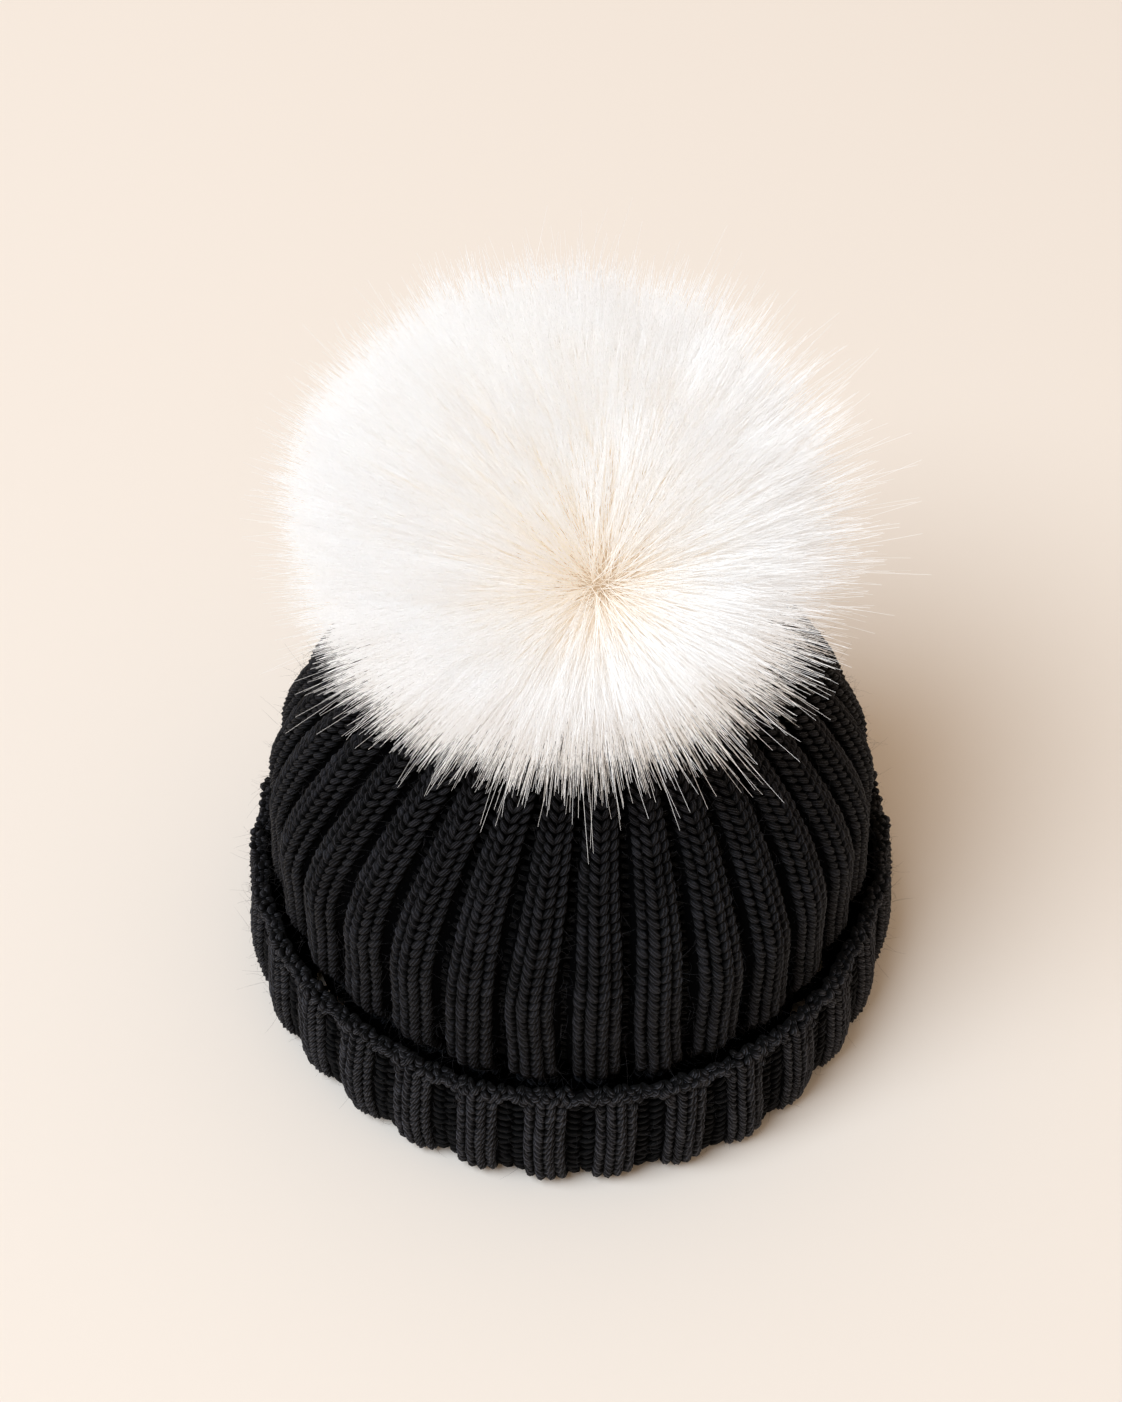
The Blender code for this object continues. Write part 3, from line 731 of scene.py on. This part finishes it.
def makeFurSurface():
    fur = Surface("whiteFur", furLook["tip"], 0.55, shine=0.3, sheen=0.2)
    along, tone = fur.own("along"), fur.own("tone")
    blend = fur.spread(along, 0.1, 0.85)
    colour = fur.mix(blend, furLook["root"], furLook["tip"], "RGBA")
    # painted shade: hairs below these heights get a warmer, darker colour and a weaker glow
    lowest, highest = furLook["paintedLowShadeHeights"]
    rise = fur.spread(fur.place().part("Z"), lowest, highest)
    paintedLowShade = fur.mix(rise, furLook["paintedLowShade"], (1, 1, 1), "RGBA")
    fur.set({"Base Color": colour * (0.90 + tone * 0.10) * paintedLowShade})
    glow = fur.mix(blend, furLook["rootGlow"], furLook["tipGlow"], "RGBA")
    fur.set({"Emission Color": glow * fur.mix(rise, furLook["paintedLowShadeGlow"], (1, 1, 1), "RGBA")})
    fur.set({"Emission Strength": furLook["glow"]})
    return fur.material


whiteFur = makeFurSurface()

furShape = {
    "density": 485000.0,
    "focus": (0.005, -0.003, 0.160),
    "reach": 0.0770,
    "stretch": (1.045, 0.99, 0.87),  # the ball is broader than it is tall
    "shift": (-0.0050, 0.0, -0.001),
    "whorl": (0.03, -0.63, 0.775),  # where the hairs part, seen from the focus
    "parting": 0.022,
    "dimple": 0.011,
    "short": 0.87,
    "long": 1.01,
    "low": 0.05,  # how much shorter the lowest hairs are
    "blur": 0.003,  # how far the hairs' roots lie from the middle of the whorl
    "scatter": 0.17,
    "clumps": 13.0,
    "tufts": 34.0,
    "gather": 0.62,
    "curl": 0.03,
    "bend": 0.20,  # how far each tuft bends its own way
    "uneven": 0.10,
    "lock": 0.26,
    "comb": 0.12,
    "droop": 0.009,
    "clearance": 0.0022,
    "thickness": 0.00011,
    "segments": 5,
}


crownShape = {
    "Centre": tuple(pomCentre), "Crown radius": crownRadius, "Crown top": crownTop,
    "Crown widest": crownLine["widestShare"] * crownTop, "Roundness": crownLine["roundness"],
}


def makeFurTree():
    graph, given = geometryTree("furHairs", {
        **labelled(furShape), **crownShape, "Seed": 1, "Coat": whiteFur})
    seed = given["Seed"]
    tips = graph.node("GeometryNodeDistributePointsOnFaces", inputs={
        "Mesh": given["Geometry"], "Density": given["Density"], "Seed": seed})
    tips = graph.storeWay(tips, "tip", graph.node("GeometryNodeInputPosition"))
    tips = graph.storeWay(tips, "dice", graph.toss(seed + 1.0))
    tips = graph.storeWay(tips, "dice2", graph.toss(seed + 2.0))
    tips = graph.store(tips, "tone", graph.chance(seed + 3.0))
    hairs, share = graph.strandsOn(tips, given["Segments"] + 1.0)
    tip, dice, dice2 = (graph.way(name) for name in ("tip", "dice", "dice2"))
    focus, centre = given["Focus"], given["Centre"]
    aim = ((tip - focus).unit() + dice * given["Scatter"]).unit()
    # neighbouring tips draw together into tufts
    tuftAim = aim
    for scale in (given["Clumps"], given["Tufts"]):
        cell = graph.node("ShaderNodeTexVoronoi", inputs={
            "Vector": tuftAim, "Scale": scale, "Randomness": 1.0}, output="Position")
        tuftAim = graph.mix(given["Gather"], tuftAim, cell.unit(), "VECTOR").unit()
    own = cell.also("Color") - (0.5, 0.5, 0.5)
    start = (focus - centre).dot(aim) * -2.0
    rootPlace = focus + aim * start.most(0.004) + dice * given["Blur"]
    lowness = (1.0 - tuftAim.part("Z") * 1.6).most(0.0).least(1.6)
    luck = dice2.part("X") * 0.5 + 0.5
    size = given["Reach"] * (given["Short"] + (given["Long"] - given["Short"]) * luck)
    size = size * (1.0 - lowness * lowness * given["Low"]) * (1.0 + own.part("X") * given["Uneven"])
    fromCentre = rootPlace - centre
    back = fromCentre.dot(tuftAim)
    reach = (back * back - fromCentre.dot(fromCentre) + size * size).most(0.0).root() - back
    way = graph.mix(share, aim, tuftAim, "VECTOR")
    place = rootPlace + way * (reach * share)
    place = place + dice2 * (given["Curl"] * reach * share * share)
    comb = graph.noise(aim, 2.6, 1.0, "Color") - (0.5, 0.5, 0.5)
    lock = graph.noise(aim, 9.0, 1.0, "Color") - (0.5, 0.5, 0.5)
    bent = comb * given["Comb"] + lock * given["Lock"] + own * given["Bend"]
    place = place + bent * (reach * share * share)
    # the hairs part at the whorl and lie down around it
    whorl = given["Whorl"].unit()
    beside = aim - whorl * aim.dot(whorl)
    near = 1.0 - graph.spread(beside.length(), 0.0, 0.75)
    laidDown = beside.unit() * given["Parting"] - whorl * given["Dimple"]
    place = place + laidDown * (near * share * share) + given["Shift"] * share
    place = place - graph.vector(0.0, 0.0, given["Droop"] * lowness * lowness * share * share)
    place = centre + (place - centre) * given["Stretch"]
    # nothing goes into the crown
    flat = graph.vector(place.part("X"), place.part("Y"), 0.0).length()
    level = (flat / given["Crown radius"]).least(0.999)
    rise = (1.0 - level * level) ** (1.0 / given["Roundness"])
    ground = given["Crown widest"] + (given["Crown top"] - given["Crown widest"]) * rise
    ground = ground + given["Clearance"] * (1.0 + (dice2.part("Y") + 1.0) * 0.5)
    place = graph.vector(place.part("X"), place.part("Y"), place.part("Z").most(ground))
    hairs = graph.node("GeometryNodeSetPosition", inputs={"Geometry": hairs, "Position": place})
    hairs = graph.store(hairs, "along", share)
    hairs = graph.thicken(hairs, given["Thickness"] * (1.0 - share * share * 0.6))
    return closeTree(graph, hairs, given["Coat"])


furTree = makeFurTree()


def tipBall(radius):
    # the ball that the hair tips end on, without the part that the crown takes up
    mesh = bpy.data.meshes.new("tipBall")
    work = bmesh.new()
    bmesh.ops.create_icosphere(work, subdivisions=5, radius=radius)
    widest = crownShape["Crown widest"]
    inside = []
    for vert in work.verts:
        vert.co += pomCentre
        level = min(0.999, math.hypot(vert.co.x, vert.co.y) / crownRadius)
        ground = widest + (crownTop - widest) * (1 - level * level) ** (1 / crownLine["roundness"])
        if vert.co.z < ground + 0.001 and vert.co.z < pomCentre.z:
            inside.append(vert)
    bmesh.ops.delete(work, geom=inside, context="VERTS")
    work.to_mesh(mesh)
    work.free()
    return mesh


def addFur(name, seed, density, **shape):
    look = {**furShape, **shape}
    values = {**labelled(look), **crownShape, "Density": density, "Seed": seed, "Coat": whiteFur}
    return grow(name, tipBall(look["reach"]), furTree, values)


coats = 5
coatDensity = furShape["density"] / coats * 1.05
furPieces = [addFur(f"furCoat{coat + 1}", 100 + 10 * coat, coatDensity)
             for coat in range(coats)]
furPieces.append(addFur("guardHairs", 301, 56000.0, short=0.95, long=1.03, scatter=0.28, gather=0.45,
                        curl=0.2, thickness=0.00009))

fuzzLook = {
    "density": 42000.0,
    "long": 0.0032,
    "thickness": 0.00003,
    "lift": 0.0007,  # how deep under the crests the fibres start
    "valleyLift": 0.0045,
}


def makeFuzzTree():
    # loose fibres that stand off a surface
    graph, given = geometryTree("fuzzFibres", {
        "Density": 1000.0, "Long": 0.003, "Thickness": 0.00003, "Seed": 1, "Fibre": knitWool})
    seed = given["Seed"]
    roots = graph.node("GeometryNodeDistributePointsOnFaces", inputs={
        "Mesh": given["Geometry"], "Density": given["Density"], "Seed": seed})
    roots = graph.storeWay(roots, "way", (roots.also("Normal") * 0.55 + graph.toss(seed + 1.0)).unit())
    roots = graph.storeWay(roots, "side", graph.toss(seed + 2.0))
    roots = graph.storeWay(roots, "root", graph.node("GeometryNodeInputPosition"))
    roots = graph.store(roots, "tone", graph.chance(seed + 3.0))
    fibres, share = graph.strandsOn(roots, 4)
    long = given["Long"] * (0.4 + graph.attribute("tone") * 1.2)
    bow = graph.way("side") * (share * share * 0.9)
    place = graph.way("root") + (graph.way("way") * share + bow) * long
    fibres = graph.node("GeometryNodeSetPosition", inputs={"Geometry": fibres, "Position": place})
    fibres = graph.thicken(fibres, given["Thickness"] * (1.0 - share * 0.6))
    return closeTree(graph, fibres, given["Fibre"])


fuzzTree = makeFuzzTree()


fuzzWool = Surface("fuzzWool", (0.030, 0.030, 0.034), 0.7, shine=0.3).material


def addFuzz(name, line, start, end, lift, seed, longer=1.0):
    look = fuzzLook
    run, angle = grid(np.linspace(start, end, 40), np.linspace(0, 2 * math.pi, 180, endpoint=False))
    guide = gridMesh(name + "Base", onLine(line, run, angle, lift)[0])
    values = {"Density": look["density"], "Long": look["long"] * longer, "Thickness": look["thickness"],
              "Seed": seed, "Fibre": fuzzWool}
    return grow(name, guide, fuzzTree, values)


crownFuzz = addFuzz("crownFuzz", crownPath, 0.03, hiddenRun, -fuzzLook["lift"], 51)
cuffFuzz = addFuzz("cuffFuzz", cuffPath, 0.001, 0.036, -fuzzLook["lift"], 52)
valleyWisps = addFuzz("valleyWisps", crownPath, 0.02, hiddenRun, -fuzzLook["valleyLift"], 53, 1.3)
hatPieces += [crownFuzz, cuffFuzz, valleyWisps]


def lathe(name, profile, columns=64, ruffle=None, material=None):
    # a closed skin turned round the upright axis; ruffle moves its points a little
    profile = np.array(profile, float)
    profile[:, 0] = profile[:, 0].clip(0)
    angle = np.linspace(0, 2 * math.pi, columns, endpoint=False)
    points = np.stack([profile[:, :1] * np.cos(angle), profile[:, :1] * np.sin(angle),
                       np.repeat(profile[:, 1:], columns, axis=1)], axis=-1)
    if ruffle is not None:
        points = ruffle(points, angle)
    return addPiece(name, closeSkin(gridMesh(name, points), weld, dropSlivers), material)


def arc(centre, radius, first, last, steps):
    # points on a turn, from one angle in degrees to another
    turns = np.radians(np.linspace(first, last, steps))
    return [(centre[0] + radius * math.cos(t), centre[1] + radius * math.sin(t)) for t in turns]


felt = {"round": 0.0005, "lump": 0.00012, "backingBore": 0.0024, "baseBore": 0.0016}


def feltSurface(name, dark, light):
    cloth = Surface(name, light, 0.95, shine=0.15, sheen=0.1)
    place = cloth.place()
    matted = cloth.noise(place, 1500.0, 4.0)
    fibre = cloth.noise(place, 5200.0, 2.0)
    cloth.colours(matted * 0.6 + fibre * 0.5, dark, light)
    cloth.bump(matted + fibre * 0.6, 0.0004, 0.9)
    return cloth.material


def addFeltDisc(name, node, bore, material, seed):
    low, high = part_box(node)
    outer, soft = (high.x - low.x) / 2, felt["round"]
    flat = np.linspace(bore + soft, outer - soft, 14)
    profile = [(bore, low.z + soft / 2)] + [(r, low.z) for r in flat]
    profile += arc((outer - soft, low.z + soft), soft, -80, 0, 4)
    profile += arc((outer - soft, high.z - soft), soft, 0, 80, 4)
    profile += [(r, high.z) for r in flat[::-1]] + [(bore, high.z - soft / 2), profile[0]]
    chance = np.random.default_rng(seed)

    def lumps(points, _):
        rough = chance.normal(0, felt["lump"], points.shape[:2])
        rough[-1] = rough[0]
        points[..., 2] -= np.abs(rough) * np.where(points[..., 2] > (low.z + high.z) / 2, 1, -1)
        return points

    return lathe(name, profile, 72, lumps, material)


blackFelt = feltSurface("blackFelt", (0.004, 0.004, 0.004), (0.020, 0.020, 0.021))
whiteFelt = feltSurface("whiteFelt", (0.70, 0.66, 0.60), (0.92, 0.90, 0.86))
backingFelt = addFeltDisc("backingFelt", "backing_disc", felt["backingBore"], blackFelt, 61)
baseFelt = addFeltDisc("baseFelt", "pom_base_disc", felt["baseBore"], whiteFelt, 62)


def addTwistedRing(name, node, wool, seed, plies=0.9):
    # a ring of two-ply yarn, made of leaning lobes like the knit
    low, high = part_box(node)
    thick = (high.z - low.z) / 2
    ring, height = (high.x - low.x) / 2 - thick, (high.z + low.z) / 2
    count = round(2 * math.pi * ring / (thick * plies))
    angle = np.arange(count) * 2 * math.pi / count
    turn = np.arange(count) * math.pi
    c, s, nought = np.cos(angle), np.sin(angle), np.zeros(count)
    out, side, up = stack(c, s, nought), stack(-s, c, nought), np.array([0, 0, 1.0])
    face = out * np.cos(turn)[:, None] + up * np.sin(turn)[:, None]
    place = out * ring + up * height + face * thick * 0.12
    aim = side + (up * np.cos(turn)[:, None]) * 0.55
    size = np.broadcast_to((thick * 1.7, thick * 1.7, thick * 3.4), place.shape)
    return addStitches(name, place, aim, face, size, seed, wool, wander=0.03, dip=0.3, hook=0.0)


def threadSurface(name, dark, light):
    thread = Surface(name, light, 0.6, shine=0.3, sheen=0.1)
    lobe = thread.own("lobe", "Vector")
    twist = (lobe.part("Y") * 30.0 + lobe.part("Z") * 6.0).sine() * 0.5 + 0.5
    thread.colours(twist, dark, light)
    thread.bump(twist, 0.0003, 0.8)
    return thread.material


whiteThread = threadSurface("whiteThread", (0.70, 0.66, 0.60), (0.92, 0.90, 0.86))
gatherYarn = addTwistedRing("gatherYarn", "gather_cord", knitWool, 63)
drawThread = addTwistedRing("drawThread", "pom_draw_thread", whiteThread, 64)


pelt = {"pleats": 26, "pleatDepth": 0.0011, "lump": 0.0009}


def addPelt():
    # the leather side of the pelt, drawn into pleats at its mouth
    skin = Surface("peltLeather", (0.80, 0.70, 0.58), 0.85, shine=0.25)
    place = skin.place()
    grain = skin.noise(place, 900.0, 4.0)
    blotch = skin.noise(place, 120.0, 2.0)
    mottled = grain * 0.5 + blotch * 0.5
    skin.colours(mottled, (0.62, 0.50, 0.38), (0.86, 0.77, 0.65))
    skin.bump(grain, 0.0004, 0.8)
    outer, thick = skinRadius, 0.0014
    lowest = math.degrees(-math.acos((outer - 0.0164) / outer))
    middle = (0.0, pomCentre.z)
    profile = arc(middle, outer, 90, lowest, 40) + arc(middle, outer - thick, lowest, 90, 40)
    profile.append(profile[0])

    def pleats(points, angle):
        depth = np.clip((pomCentre.z - points[..., 2]) / outer - 0.25, 0, 1) * pelt["pleatDepth"]
        shift = (np.cos(angle * pelt["pleats"] + 1.3 * np.sin(angle * 3)) - 1) * depth
        points[..., 0] += np.cos(angle) * shift
        points[..., 1] += np.sin(angle) * shift
        return points

    return lathe("peltBall", profile, 208, pleats, skin.material)


def addStuffing():
    # wadding pushed into the pelt: a slack ball with soft lumps
    wadding = Surface("wadding", (0.92, 0.92, 0.91), 1.0, shine=0.1)
    fluff = wadding.noise(wadding.place(), 700.0, 4.0)
    wadding.colours(fluff, (0.80, 0.80, 0.79), (0.96, 0.96, 0.95))
    wadding.bump(fluff, 0.0008, 1.0)
    low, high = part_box("pom_stuffing")
    radius = (high.x - low.x) / 2 - 0.0004
    lowest = math.degrees(math.asin((low.z - pomCentre.z) / radius))
    profile = arc((0.0, pomCentre.z), radius, 90, lowest, 40)
    profile += [(0.6 * radius * math.cos(math.radians(lowest)), low.z), (0.0, low.z)]

    def lumps(points, angle):
        height = (points[..., 2] - pomCentre.z) / radius
        wave = np.sin(5 * angle + 4 * height) * np.sin(7 * height + 2 * angle)
        points[..., :2] *= 1 - 0.018 * (1 + wave)[..., None]
        return points

    return lathe("stuffingBall", profile, 96, lumps, wadding.material)


peltBall, stuffingBall = addPelt(), addStuffing()


def ribbonSurface():
    ribbon = Surface("whiteRibbon", (0.85, 0.84, 0.82), 0.42, shine=0.4, sheen=0.2)
    place = ribbon.place()
    weft = (place.part("Z") * 21000.0).sine() * 0.5 + 0.5
    warp = (place.part("X") * 16000.0).sine() * 0.5 + 0.5
    weave = weft * 0.6 + warp * 0.4
    ribbon.colours(weave, (0.70, 0.69, 0.67), (0.88, 0.87, 0.85))
    ribbon.bump(weave, 0.00015, 0.7)
    return ribbon.material


def addLabel():
    # a blank ribbon folded in half, with its cut ends sewn to the back of the hat
    low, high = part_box("care_label")
    thick = 0.0004
    back, front = high.y - thick, low.y + thick
    bend = (back - front) / 2
    fold = arc(((back + front) / 2, low.z + bend + thick), bend, 0, -180, 13)
    side = np.array([(back, high.z), *fold, (front, high.z)])
    run = lengthAlong(side)
    at = np.linspace(0, run[-1], 64)
    side = resample(side, run, at)
    slope = slopeOf(side, at)
    away = np.stack([-slope[:, 1], slope[:, 0]], axis=1)
    across = np.linspace(low.x, high.x, 24)
    sheets = []
    for lift in (thick / 2, -thick / 2):
        curve = side + away * lift
        x, y = np.meshgrid(across, curve[:, 0], indexing="xy")
        z = np.repeat(curve[:, 1:], len(across), axis=1)
        hang = np.clip((high.z - z) / (high.z - low.z), 0, 1)
        curl = 0.0009 * hang ** 2 * np.cos(math.pi * x / (high.x - low.x))
        sheets.append(stack(x, y - curl, z))
    top, under = sheets
    loop = np.concatenate([top, under[:, ::-1]], axis=1)
    label = addPiece("ribbonLabel", closeSkin(gridMesh("label", loop), fillHoles), ribbonSurface())
    count = 13
    x = np.tile(np.linspace(low.x + 0.0016, high.x - 0.0016, count), 2)
    y = np.full(2 * count, front - 0.0003)
    z = np.repeat([high.z - 0.0022, high.z - 0.0042], count)
    place = stack(x, y, z)
    aim = np.broadcast_to((1.0, 0.0, 0.06), place.shape)
    face = np.broadcast_to((0.0, -1.0, 0.0), place.shape)
    size = np.broadcast_to((0.0005, 0.0004, 0.0013), place.shape)
    sewing = addStitches("labelSewing", place, aim, face, size, 65, whiteThread, wander=0.05, dip=1.0,
                         hook=0.0)
    return label, sewing


ribbonLabel, labelSewing = addLabel()


def metal(name, colour, roughness, scratch):
    plate = Surface(name, colour, roughness, metallic=1.0)
    place = plate.place()
    smear = plate.noise(place, 700.0, 3.0)
    marks = plate.noise(place * (1.0, 1.0, 12.0), 2600.0, 2.0)
    plate.set({"Roughness": roughness + (smear - 0.5) * 0.22})
    plate.colours(smear, tuple(c * 0.86 for c in colour), colour)
    plate.bump(marks, scratch, 0.5)
    return plate.material


def finishNode(name, material):
    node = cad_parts[name]
    node.material_slots[0].link = "OBJECT"
    node.material_slots[0].material = material


brass = metal("brassPlate", (0.80, 0.66, 0.38), 0.28, 0.00004)
springSteel = metal("springSteel", (0.66, 0.66, 0.67), 0.24, 0.00002)
for name in ("snap_cap", "snap_socket", "snap_stud", "stud_cap"):
    finishNode(name, brass)
finishNode("socket_spring", springSteel)

hatPieces += [backingFelt, gatherYarn, ribbonLabel, labelSewing]
for piece in hatPieces:
    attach(piece, "hat")
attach(baseFelt, "pom_base")
ballPieces = [peltBall, stuffingBall, drawThread]
for piece in ballPieces:
    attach(piece, "pom_ball")
for piece in furPieces:
    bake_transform(piece)
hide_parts("crown_knit")
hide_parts("cuff")
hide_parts("pom_fur")
for piece, node, slot in (
    (backingFelt, "backing_disc", "black_felt"), (baseFelt, "pom_base_disc", "white_felt"),
    (gatherYarn, "gather_cord", "black_yarn"), (drawThread, "pom_draw_thread", "white_thread"),
    (peltBall, "pom_skin", "pelt"), (stuffingBall, "pom_stuffing", "wadding"),
    (ribbonLabel, "care_label", "white_ribbon"),
):
    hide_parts(node)
crownWith, cuffWith = [*crownStitchPieces, crownFuzz, valleyWisps], [*cuffStitchPieces, cuffFuzz]
for piece in [crownCloth, *crownWith, cuffCloth, *cuffWith]:
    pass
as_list(crownWith)
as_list(cuffWith)

light = {
    "floorColour": (0.82, 0.76, 0.70),
    "skyColour": (0.575, 0.435, 0.310),
    "skyStrength": 1.0,
    "keyColour": (0.77, 0.89, 1.0),
    "keyPower": 248.0,
    "keyWay": (-0.42, -0.315, 0.85),
    "keyDistance": 5.0,
    "keySize": 3.1,
}
view = {
    "lens": 66.76,
    "down": 49.5,  # degrees below the horizon
    "distance": 0.863,
    "above": 0.0717,
    "aside": -0.00355,
}


def addFloor():
    size = 6.0
    corners = [[(x, y, 0.0) for x in (-size, size)] for y in (-size, size)]
    mesh = gridMesh("floor", np.array(corners), closedAcross=False)
    paper = Surface("paleFloor", light["floorColour"], 0.95, shine=0.1)
    floor = addPiece("floor", mesh, paper.material)
    floor.location.z = -0.0002


def addLights():
    world = bpy.data.worlds.new("softRoom")
    scene.world = world
    world.use_nodes = True
    background = world.node_tree.nodes["Background"]
    background.inputs["Color"].default_value = (*light["skyColour"], 1)
    background.inputs["Strength"].default_value = light["skyStrength"]
    lamp = bpy.data.lights.new("softKey", "AREA")
    lamp.shape, lamp.size = "DISK", light["keySize"]
    lamp.energy, lamp.color = light["keyPower"], light["keyColour"]
    key = bpy.data.objects.new("softKey", lamp)
    scene.collection.objects.link(key)
    way = Vector(light["keyWay"]).normalized()
    key.location = way * light["keyDistance"] + Vector((0, 0, crownTop / 2))
    key.rotation_euler = way.to_track_quat("Z", "Y").to_euler()


def addCamera():
    lens = bpy.data.cameras.new("camera")
    lens.lens, lens.sensor_width, lens.clip_start, lens.clip_end = view["lens"], 36.0, 0.05, 30.0
    camera = bpy.data.objects.new("camera", lens)
    scene.collection.objects.link(camera)
    down = math.radians(view["down"])
    ahead = Vector((0, math.cos(down), -math.sin(down)))
    upward = Vector((0, math.sin(down), math.cos(down)))
    camera.location = -view["distance"] * ahead + view["above"] * upward + Vector((view["aside"], 0, 0))
    camera.rotation_euler = (math.pi / 2 - down, 0, 0)
    scene.camera = camera


addFloor()
addLights()
addCamera()
scene.view_settings.view_transform = "Standard"
scene.cycles.diffuse_bounces = 10
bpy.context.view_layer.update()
total = sum(triangles(piece) for piece in [*hatPieces, *furPieces, *ballPieces, baseFelt])
